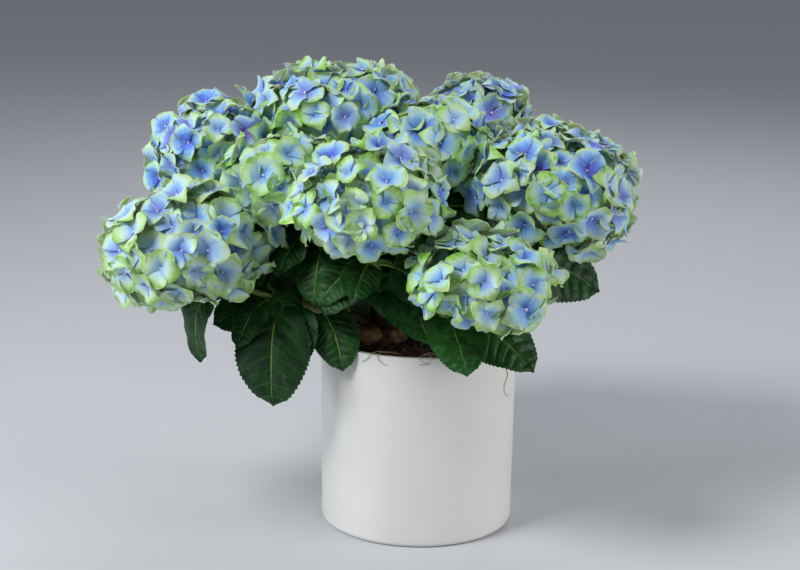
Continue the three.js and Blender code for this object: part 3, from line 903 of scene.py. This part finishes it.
def add_blade(bm, root, bearing, droop, length, rng, half, curl=None):
    """One toothed blade, quilted between its side veins and wavy at its margin. half is how many columns
    its mesh has each side."""
    out = level_at(bearing)
    roll = roll_of(root, bearing, droop)
    midrib = midrib_of(root, out, droop, length)
    columns = columns_of(half)
    rows = VEINS * len(VEIN_ROWS)
    wave, phase = rng.uniform(*VARIETY["wave"]), rng.uniform(0, math.tau)
    twist = rng.uniform(*VARIETY["twist"])
    curl = curl or rng.uniform(*VARIETY["curl"])
    grain = Vector((rng.uniform(0, 99), rng.uniform(0, 99), 0))
    puffs = [[rng.uniform(*VARIETY["plump"]) for _ in range(VEINS + 1)] for _ in range(2)]
    mood = rng.uniform(*VARIETY["mood"])
    sheet = bmesh.new()
    bmesh.ops.create_grid(sheet, x_segments=2 * half, y_segments=rows, size=1)
    paint_blade(sheet, half, rows, columns, grain, mood)
    spare = odd_rows(sheet, rows)
    frames = {}
    for vert in sheet.verts:
        step_across = round(vert.co.x * half)
        row = round((vert.co.y + 1) / 2 * rows)
        across = math.copysign(columns[abs(step_across)], step_across)
        step = row % len(VEIN_ROWS)
        interval = row // len(VEIN_ROWS)
        at_vein = (interval + VEIN_ROWS[step]) / VEINS
        sweep = SWEEP * abs(across) ** RELIEF["bow"]
        share = at_vein + sweep * (1 - at_vein) * smooth(at_vein * RELIEF["swept"])
        if share not in frames:
            along = midrib.along(share)
            side = Quaternion(along, roll + twist * share) @ Vector((out.y, -out.x, 0))
            frames[share] = midrib.at(share), side, side.cross(along)
        middle, side, face = frames[share]
        full = LEAF["width"] * length / 2
        width = across * full * blade_width(share)
        ends = smooth(share * RELIEF["foot"]) * smooth((1 - share) * RELIEF["tip"])
        tooth = TOOTH[step] * length * QUILT["tooth"] * ends if abs(step_across) == half else 0
        swell = math.sin(math.pi * min(1, abs(across) * RELIEF["end"]) ** RELIEF["peak"])
        plump = puffs[step_across > 0][interval]
        fine = Vector((width, share * length, 7)) * QUILT_SCALE["wrinkle"]
        wrinkle = noise.noise(grain + fine) * QUILT["wrinkle"]
        bulge = (PILLOW[step] * plump + wrinkle) * swell * length * QUILT["bulge"] * ends
        rise = abs(width) * LEAF["fold"] - curl * (width / full) ** 2 * full
        rise += wave * math.sin(share * RELIEF["waves"] + phase + across) * across * across
        broad = Vector((width, share * length, 0)) * QUILT_SCALE["buckle"]
        rise += noise.noise(grain + broad) * QUILT["buckle"]
        vert.co = middle + side * (width + math.copysign(tooth, across)) + face * (rise + bulge)
    backed(sheet, length / THINNESS, lambda _: leaf_index["under"], spare)
    mesh = as_template("blade", sheet, 17)
    bm.from_mesh(mesh)
    bpy.data.meshes.remove(mesh)
    return midrib


def odd_rows(sheet, rows):
    """The edges that run across a flat grid from -1 to 1, on every other row inside it."""
    found = []
    for edge in sheet.edges:
        places = [(vert.co.y + 1) / 2 * rows for vert in edge.verts]
        row = round(places[0])
        if abs(places[0] - places[1]) < 0.1 and 0 < row < rows and row % 2 == 1:
            found.append(edge)
    return found


def backed(sheet, thickness, back, spare):
    """Closes a sheet with a second side behind it that meets it all along the margin. back gives each face
    there its material, and the spare edges are left out of it."""
    sheet.normal_update()
    whole = list(sheet.verts) + list(sheet.edges) + list(sheet.faces)
    made = bmesh.ops.duplicate(sheet, geom=whole)
    for vert in made["geom"]:
        if isinstance(vert, bmesh.types.BMVert) and not vert.is_boundary:
            vert.co -= vert.normal * thickness
    faces = [g for g in made["geom"] if isinstance(g, bmesh.types.BMFace)]
    for face in faces:
        face.material_index = back(face.material_index)
    bmesh.ops.reverse_faces(sheet, faces=faces)
    unused = [made["edge_map"][edge] for edge in spare]
    inner = {vert for edge in unused for vert in edge.verts if not vert.is_boundary}
    bmesh.ops.dissolve_edges(sheet, edges=unused, use_verts=False)
    idle = [vert for vert in inner if vert.is_valid and len(vert.link_edges) == 2]
    bmesh.ops.dissolve_verts(sheet, verts=idle)
    bmesh.ops.remove_doubles(sheet, verts=sheet.verts, dist=thickness * 0.05)
    bmesh.ops.recalc_face_normals(sheet, faces=sheet.faces)


def add_stalk(bm, root, midrib, scale):
    """The stalk of a leaf, which runs on under the blade as its midrib."""
    base = midrib.at(0)
    way = midrib.along(0)
    below = STALK["below"] * scale
    own = STALK["own"]
    foot, top = LEAF["stalk"] * STALK_THICK["foot"], LEAF["stalk"] * STALK_THICK["top"]

    def path(share):
        if share < own:
            s = share / own
            knee = base - way * (base - root).length * STALK["knee"]
            spot = root.lerp(knee, s).lerp(knee.lerp(base, s), s)
            return spot - UP * below * s
        s = (share - own) / (1 - own)
        return midrib.at(s * STALK["under"]) - UP * below * (1 - STALK["rise"] * s)

    def radius(share):
        if share < own:
            return scale * lerp(foot, top, share / own)
        return scale * lerp(top, STALK_THICK["tip"], (share - own) / (1 - own))

    add_tube(bm, path, radius, sides=8, rings=22, material=len(leaf_skins))


def add_leaf(bm, root, bearing, droop, length, rng, half, stalk):
    """A blade with half columns each side, on its stalk."""
    midrib = add_blade(bm, root, bearing, droop, length, rng, half)
    add_stalk(bm, root, midrib, stalk)


def inside_a_head(point):
    """Whether a point lies within any flower head, taken to a share of its size."""
    for shoot in SHOOTS:
        local = dome_of(shoot).inverted() @ point
        if local.length < ROOM["head_share"] and local.z > HEAD["underside"] - ROOM["hem"]:
            return True
    return False


def room_for(midrib):
    """Whether a small leaf on this midrib keeps clear of the pot, the heads and the plant's outline."""
    for i in range(ROOM["checks"] + 1):
        spot = midrib.at(i / ROOM["checks"])
        out = math.hypot(spot.x, spot.y)
        on_pot = spot.z < POT["height"] + ROOM["over_pot"] and out < POT["rim"] + ROOM["past_rim"]
        if on_pot or spot.z < SOIL["crest"] - ROOM["under_crest"] or inside_a_head(spot):
            return False
        if out > ROOM["out"] or spot.z > ROOM["up"]:
            return False
    return True


def young_leaves(shoot, line, rng):
    """Places for a shoot's small inner leaves: between its large pairs and across them."""
    if shoot["name"] in YOUNG["none_on"]:
        return
    start, end = leafy_of(shoot, line)
    across = shoot["pairs"][0][1] + 90
    for k, place in enumerate(YOUNG["places"]):
        root = line.at(lerp(start, end, place))
        for half_turn in (0, 180):
            bearing = across + YOUNG["turn"] * k + half_turn + rng.uniform(*YOUNG["stray"])
            yield root, bearing, rng.uniform(*YOUNG["droop"]), rng.uniform(*YOUNG["length"])


def make_leaves(shoot, line):
    """A shoot's large leaves, the small ones that are set one by one, and the smallest, dealt out."""
    name = shoot["name"]
    rng = random.Random(SEED + sum(map(ord, name)))
    bm = bmesh.new()
    for place, bearing, droop, partner_droop, length in shoot["pairs"]:
        root = line.at(lerp(*leafy_of(shoot, line), place))
        for turn, fall in ((bearing, droop), (bearing + 180, partner_droop)):
            if fall is not None:
                add_leaf(bm, root, turn, fall, length, rng, *LARGE)
    for place, bearing, droop, length in shoot.get("small", ()):
        root = line.at(lerp(*leafy_of(shoot, line), place))
        add_leaf(bm, root, bearing, droop, length, rng, *SMALL)
    for root, bearing, droop, length in young_leaves(shoot, line, rng):
        if room_for(midrib_of(root, level_at(bearing), droop, length)):
            add_leaf(bm, root, bearing, droop, length, rng, *SMALLEST)
    finished("foliage_" + name, bm, leaf_skins + [stalk_skin], ["leaves_" + name])


# ---- Florets ----
# levels are the steps of ripeness on a petal, and overlap is how far florets reach into the next head's
# space, in square millimetres of power distance.
FLORET = {
    "petal": 17.8, "variants": 24, "sunk": (-1, 13), "levels": 32,
    "sizes": (0.77, 1.1), "sway": 0.06, "tilt": 0.33, "overlap": 1500,
    "throat": 0.3, "bead": 0.075, "bead_rise": 0.08, "pale": 0.35,
}
LOW_GREEN = {"from": 0.3, "more": 0.35, "spread": 0.22}  # florets low on a head are greener
RAY = {"hub": 0.5, "inwards": 0.5, "knee": 0.45, "rise": 2, "thick": (1.5, 0.75)}
# Each shell of florets: its share of the head's size, its florets' spacing, and how much greener they are.
# The inner shell's deeper green is partly its younger florets' own colour and partly painted shade between
# the outer florets.
SHELLS = ((1.0, 25.2, 0.0), (0.8, 34, 0.3))
# The lines of a petal's mesh, across and along, from -1 to 1.
PETAL_COLUMNS = (-1, -0.52, 0, 0.52, 1)
PETAL_ROWS = (-1, -0.8, -0.57, -0.33, -0.08, 0.17, 0.41, 0.63, 0.84, 1)
MARGIN_LEVEL = FLORET["levels"]
BACK_LEVEL = MARGIN_LEVEL + len(PETAL_MARGINS)
BACK_TURNS = (10, 22)  # the levels of the face past which the back takes its next tone
# A petal ripens mostly along its length and a little across it, with a riper patch to one side.
RIPE = {"along": 0.88, "across": 0.12, "middle": 0.3, "side": 0.7}
# How petals differ, in shares of their length.
PETAL = {
    "width": (1.08, 1.32), "point": (0, 0.05, 0.1, 0.18), "ruffle": (0.04, 0.1), "ruffles": (3, 4, 5),
    "lean": (-0.3, 0.3), "hollow": (0.0, 0.75), "tip_curl": (-0.38, 0.08), "uneven": (-0.05, 0.05),
    "pale_tips": 0.4, "patch": (0, 0.3), "claw": 0.42, "claw_end": 0.4,
    "thickness": 0.022, "groove": 0.03, "groove_width": 0.06,
}
# A floret's petals in the order they lie: quarter turn, and height of the claw.
LAID = ((0, 0.0), (2, 0.02), (1, 0.1), (3, 0.08))
FLORET_CUP = {"all": (0.14, 0.46), "each": (-0.08, 0.12), "turn": (-0.2, 0.2)}


def level_behind(level):
    """The level that a petal's back takes behind a level of its face."""
    return BACK_LEVEL + sum(level > turned for turned in BACK_TURNS)


def add_petal(bm, turn, lift, cup, rng):
    """One petal of unit length: a grid rounded off into a broad, cupped, ruffled blade."""
    sheet = bmesh.new()
    columns, rows = len(PETAL_COLUMNS) - 1, len(PETAL_ROWS) - 1
    edged = rng.randrange(len(PETAL_MARGINS))
    pale_tip = rng.random() < PETAL["pale_tips"]
    bmesh.ops.create_grid(sheet, x_segments=columns, y_segments=rows, size=1)
    patch, patch_side = rng.uniform(*PETAL["patch"]), rng.choice((-1, 1))
    for face in sheet.faces:
        spot = face.calc_center_median()
        off = int(abs(spot.x) * columns / 2) / (columns / 2 - 1)
        row = int((spot.y + 1) / 2 * rows)
        far = (row + 0.5) / rows
        ripe = RIPE["along"] * far + RIPE["across"] * off * smooth(far * 2)
        ripe += patch * smooth(RIPE["middle"] + patch_side * spot.x * RIPE["side"]) * smooth(far * 2 - 0.5)
        margin = pale_tip and row == rows - 1
        level = int(clamp(ripe, 0, 0.999) * FLORET["levels"])
        face.material_index = MARGIN_LEVEL + edged if margin else level
    width = rng.uniform(*PETAL["width"])
    point = rng.choice(PETAL["point"])
    ruffle = rng.uniform(*PETAL["ruffle"])
    ruffles = rng.choice(PETAL["ruffles"])
    phase = rng.uniform(0, math.tau)
    lean = rng.uniform(*PETAL["lean"])
    hollow = rng.uniform(*PETAL["hollow"])
    tip_curl = rng.uniform(*PETAL["tip_curl"])
    spare = odd_rows(sheet, rows)
    for vert in sheet.verts:
        u = PETAL_COLUMNS[round((vert.co.x + 1) / 2 * columns)]
        v = PETAL_ROWS[round((vert.co.y + 1) / 2 * rows)]
        if 0 < abs(u) < 0.9 and abs(v) < 0.9:
            u, v = u + rng.uniform(*PETAL["uneven"]), v + rng.uniform(*PETAL["uneven"])
        x = u * math.sqrt(1 - v * v / 2)
        y = v * math.sqrt(1 - u * u / 2)
        far = (y + 1) / 2
        edge = max(abs(u), v, 0)
        x *= width / 2 * lerp(PETAL["claw"], 1, smooth(far / PETAL["claw_end"]))
        length = far + point * max(y, 0) ** 4 * (1 - min(1, abs(x) * 3))
        height = lift + cup * (2 * length - length * length) + tip_curl * length**3
        height += hollow * x * x + lean * x
        around = math.atan2(x, far - PETAL["claw_end"])
        height += ruffle * math.sin(around * ruffles + phase) * edge**3
        height -= PETAL["groove"] * math.exp(-((x / PETAL["groove_width"]) ** 2)) * smooth(far * 4)
        vert.co = (x, length, height)
    backed(sheet, PETAL["thickness"], level_behind, spare)
    bmesh.ops.rotate(sheet, matrix=Matrix.Rotation(turn, 3, "Z"), verts=sheet.verts)
    mesh = as_template("petal", sheet, 60)
    bm.from_mesh(mesh)
    bpy.data.meshes.remove(mesh)


def floret_template(i):
    """A floret of unit radius in +Z: two lower petals and two upper ones across them."""
    rng = random.Random(SEED * 100 + i)
    bm = bmesh.new()
    cup = rng.uniform(*FLORET_CUP["all"])
    for k, lift in LAID:
        turn = math.pi / 2 * k + rng.uniform(*FLORET_CUP["turn"])
        add_petal(bm, turn, lift, cup + rng.uniform(*FLORET_CUP["each"]), rng)
    mesh = bpy.data.meshes.new(f"floret {i}")
    bm.to_mesh(mesh)
    bm.free()
    return mesh


def lean_of(shoot):
    """The turn from +Z to the axis of a shoot's dome."""
    return UP.rotation_difference(heading(out_of(shoot), 90 - shoot["dome"][2]))


def dome_of(shoot):
    """The unit sphere's place as a shoot's dome."""
    radius, flat, _ = shoot["dome"]
    size = Matrix.Diagonal((radius, radius, radius * flat, 1))
    return Matrix.Translation(shoot["head"]) @ lean_of(shoot).to_matrix().to_4x4() @ size


def spots_on(shoot, spacing):
    """Even points on the unit sphere along a spiral from its crown down to the head's underside."""
    radius, flat, _ = shoot["dome"]
    underside = shoot.get("underside", HEAD["underside"])
    golden = math.pi * (3 - math.sqrt(5))
    area = math.tau * (1 - underside) * radius * radius * lerp(0.5, 1, flat)
    count = round(area / spacing**2)
    for i in range(count):
        height = 1 - (1 - underside) * (i + 0.5) / count
        level = math.sqrt(1 - height * height)
        yield Vector((level * math.cos(i * golden), level * math.sin(i * golden), height))


def strays(point, own):
    """Whether a point lies well within another head's space, by its power distance to the two domes."""

    def power(shoot):
        return (point - Vector(shoot["head"])).length_squared - shoot["dome"][0] ** 2

    return any(power(other) < power(own) - FLORET["overlap"] for other in SHOOTS if other is not own)


# Where along the petal tones a floret's throat and rim lie, for one that is all blue and one that is all
# green, how far florets stray from that, and how the tones are spread between the two.
RIPENING = {"throat": (0.0, 0.2), "rim": (0.66, 0.86), "bow": (1.7, 0.75)}
RIPENING_STRAY = {"throat": (0, 0.06), "rim": (-0.1, 0.1)}


def petal_paint(green, pale, rng):
    """Which petal finish each level of one floret's mesh takes: the riper it is, the less blue is left.
    pale is how often the floret is of the paler kind."""
    green = clamp(green)
    family = PETAL_STEPS * (rng.random() < pale)
    start = lerp(*RIPENING["throat"], green) + rng.uniform(*RIPENING_STRAY["throat"])
    end = lerp(*RIPENING["rim"], green) + rng.uniform(*RIPENING_STRAY["rim"])
    bow = lerp(*RIPENING["bow"], green)
    table = []
    for level in range(FLORET["levels"]):
        ripe = (level + 0.5) / FLORET["levels"]
        tone = lerp(start, end, ripe**bow) * (PETAL_STEPS - 1)
        table.append(family + int(clamp(round(tone), 0, PETAL_STEPS - 1)))
    margins = len(PETAL_MARGINS)
    turn = rng.randrange(margins)
    table += [FIRST_MARGIN + (turn + k // 2) % margins for k in range(margins)]
    table += [FIRST_BACK + k for k in range(len(PETAL_BACKS))]
    return table


def bead_template():
    """The small round eye of a floret."""
    bm = bmesh.new()
    bmesh.ops.create_uvsphere(bm, u_segments=6, v_segments=4, radius=1)
    return as_template("bead", bm, 90)


def make_head(shoot, line, florets, bead):
    """A flower head in three pieces: its florets' petals, their beads, and the rays that carry them."""
    name = shoot["name"]
    rng = random.Random(SEED + 7 * sum(map(ord, name)))
    flat = shoot["dome"][1]
    dome, lean = dome_of(shoot), lean_of(shoot)
    middle = Vector(shoot["head"])
    collar = leafy_of(shoot, line)[1]
    hub = line.at(lerp(collar, 1, RAY["hub"]))
    petals, beads, rays = bmesh.new(), bmesh.new(), bmesh.new()
    spots = [(spot, shell, ripe) for shell, spacing, ripe in SHELLS for spot in spots_on(shoot, spacing)]
    for spot, shell, ripe in spots:
        out = (lean @ Vector((spot.x, spot.y, spot.z / flat))).normalized()
        sway = Vector([rng.uniform(-1, 1) for _ in range(3)]) * FLORET["sway"]
        place = dome @ ((spot + sway).normalized() * shell) - out * rng.uniform(*FLORET["sunk"])
        if strays(place, shoot):
            continue
        tilt = Vector([rng.uniform(-1, 1) for _ in range(3)]) * FLORET["tilt"]
        out = (out + tilt).normalized()
        size = FLORET["petal"] * rng.uniform(*FLORET["sizes"])
        facing = UP.rotation_difference(out) @ Quaternion(UP, rng.uniform(0, math.tau))
        low = clamp(LOW_GREEN["from"] - spot.z)
        # ripe deepens the inner shell's green: partly the young florets' own colour, partly painted shade
        # between the outer florets.
        green = shoot["green"] + LOW_GREEN["more"] * low + ripe + rng.gauss(0, LOW_GREEN["spread"])
        paint = petal_paint(green, shoot.get("pale", FLORET["pale"]), rng)
        base = place - out * size * FLORET["throat"]
        matrix = Matrix.Translation(base) @ facing.to_matrix().to_4x4() @ Matrix.Scale(size, 4)
        add_copy(petals, rng.choice(florets), lambda p, m=matrix: m @ p, lambda level, t=paint: t[level])
        throat = base + out * size * FLORET["bead_rise"]
        eye = Matrix.Translation(throat) @ Matrix.Scale(size * FLORET["bead"], 4)
        add_copy(beads, bead, lambda p, m=eye: m @ p)
        knee = hub.lerp(middle, RAY["inwards"]).lerp(base, RAY["knee"]) + out * RAY["rise"]
        add_tube(rays, Line(hub, knee, base).at, tapering(*RAY["thick"]), sides=4, rings=5)
    finished("petals_" + name, petals, petal_skins, ["head_" + name])
    finished("beads_" + name, beads, [bead_skin])
    finished("rays_" + name, rays, [ray_skin])


# ---- Setting, in metres ----
FLOOR_REACH = 30
CAMERA = {"place": (-0.018, -1.585, 0.617), "down": 14, "roll": 0.8, "lens": 80.1, "sensor": 36}
MIDDLE = (0, 0, 0.24)
SKY = {"colour": (0.82, 0.87, 0.93, 1), "strength": 0.26}


def make_floor():
    bm = bmesh.new()
    bmesh.ops.create_grid(bm, x_segments=1, y_segments=1, size=FLOOR_REACH)
    mesh = bpy.data.meshes.new("floor")
    bm.to_mesh(mesh)
    bm.free()
    mesh.materials.append(plain("pale floor", "c9cbd0", roughness=0.8, gloss=0.1))
    floor = bpy.data.objects.new("floor", mesh)
    bpy.context.scene.collection.objects.link(floor)


def soft_light(name, place, aim, size, power, colour, spread=180):
    """A round lamp of a size across, that shines towards aim and spreads its light by an angle."""
    data = bpy.data.lights.new(name, "AREA")
    data.shape = "DISK"
    data.size = size
    data.spread = math.radians(spread)
    data.energy = power
    data.color = colour
    light = bpy.data.objects.new(name, data)
    light.location = place
    light.rotation_euler = (Vector(aim) - Vector(place)).to_track_quat("-Z", "Y").to_euler()
    bpy.context.scene.collection.objects.link(light)


def make_lights():
    """A key light from the upper left, weak side lights, one from behind, and a dim even sky."""
    soft_light("key", (-1.3, -1.0, 1.9), MIDDLE, size=0.9, power=39, colour=(1.0, 0.99, 0.97))
    soft_light("left", (-1.9, -0.5, 0.6), MIDDLE, size=0.8, power=2.9, colour=(0.88, 0.94, 1.0), spread=90)
    low = (0, 0, 0.16)
    soft_light("right", (1.9, -0.5, 0.6), low, size=0.9, power=4.3, colour=(1.0, 0.97, 0.94), spread=90)
    soft_light("back", (0.5, 1.6, 1.8), MIDDLE, size=1.0, power=13, colour=(1.0, 1.0, 1.0))
    world = bpy.data.worlds.new("studio")
    world.use_nodes = True
    sky = world.node_tree.nodes["Background"]
    sky.inputs["Color"].default_value = SKY["colour"]
    sky.inputs["Strength"].default_value = SKY["strength"]
    bpy.context.scene.world = world


def make_camera():
    """A long lens in front of the plant and above its top, which looks down at it a little."""
    data = bpy.data.cameras.new("camera")
    data.sensor_width = CAMERA["sensor"]
    data.lens = CAMERA["lens"]
    camera = bpy.data.objects.new("camera", data)
    camera.location = CAMERA["place"]
    tilt = Matrix.Rotation(math.radians(90 - CAMERA["down"]), 4, "X")
    roll = Matrix.Rotation(math.radians(CAMERA["roll"]), 4, "Z")
    camera.rotation_euler = (tilt @ roll).to_euler()
    bpy.context.scene.collection.objects.link(camera)
    bpy.context.scene.camera = camera


# ---- Making it ----
make_camera()
make_lights()
make_floor()
make_pot()
make_soil()
rng = random.Random(SEED)
make_crumbs(rng)
make_fibres(rng)
make_stray_roots()
make_dry_leaf(rng)
make_trunk()

bead = bead_template()
florets = [floret_template(i) for i in range(FLORET["variants"])]
cane = cane_skin()
for shoot in SHOOTS:
    line = line_of(shoot)
    make_shoot(shoot, line, cane)
    make_leaves(shoot, line)
    make_head(shoot, line, florets, bead)

bpy.context.scene.view_settings.view_transform = "Standard"
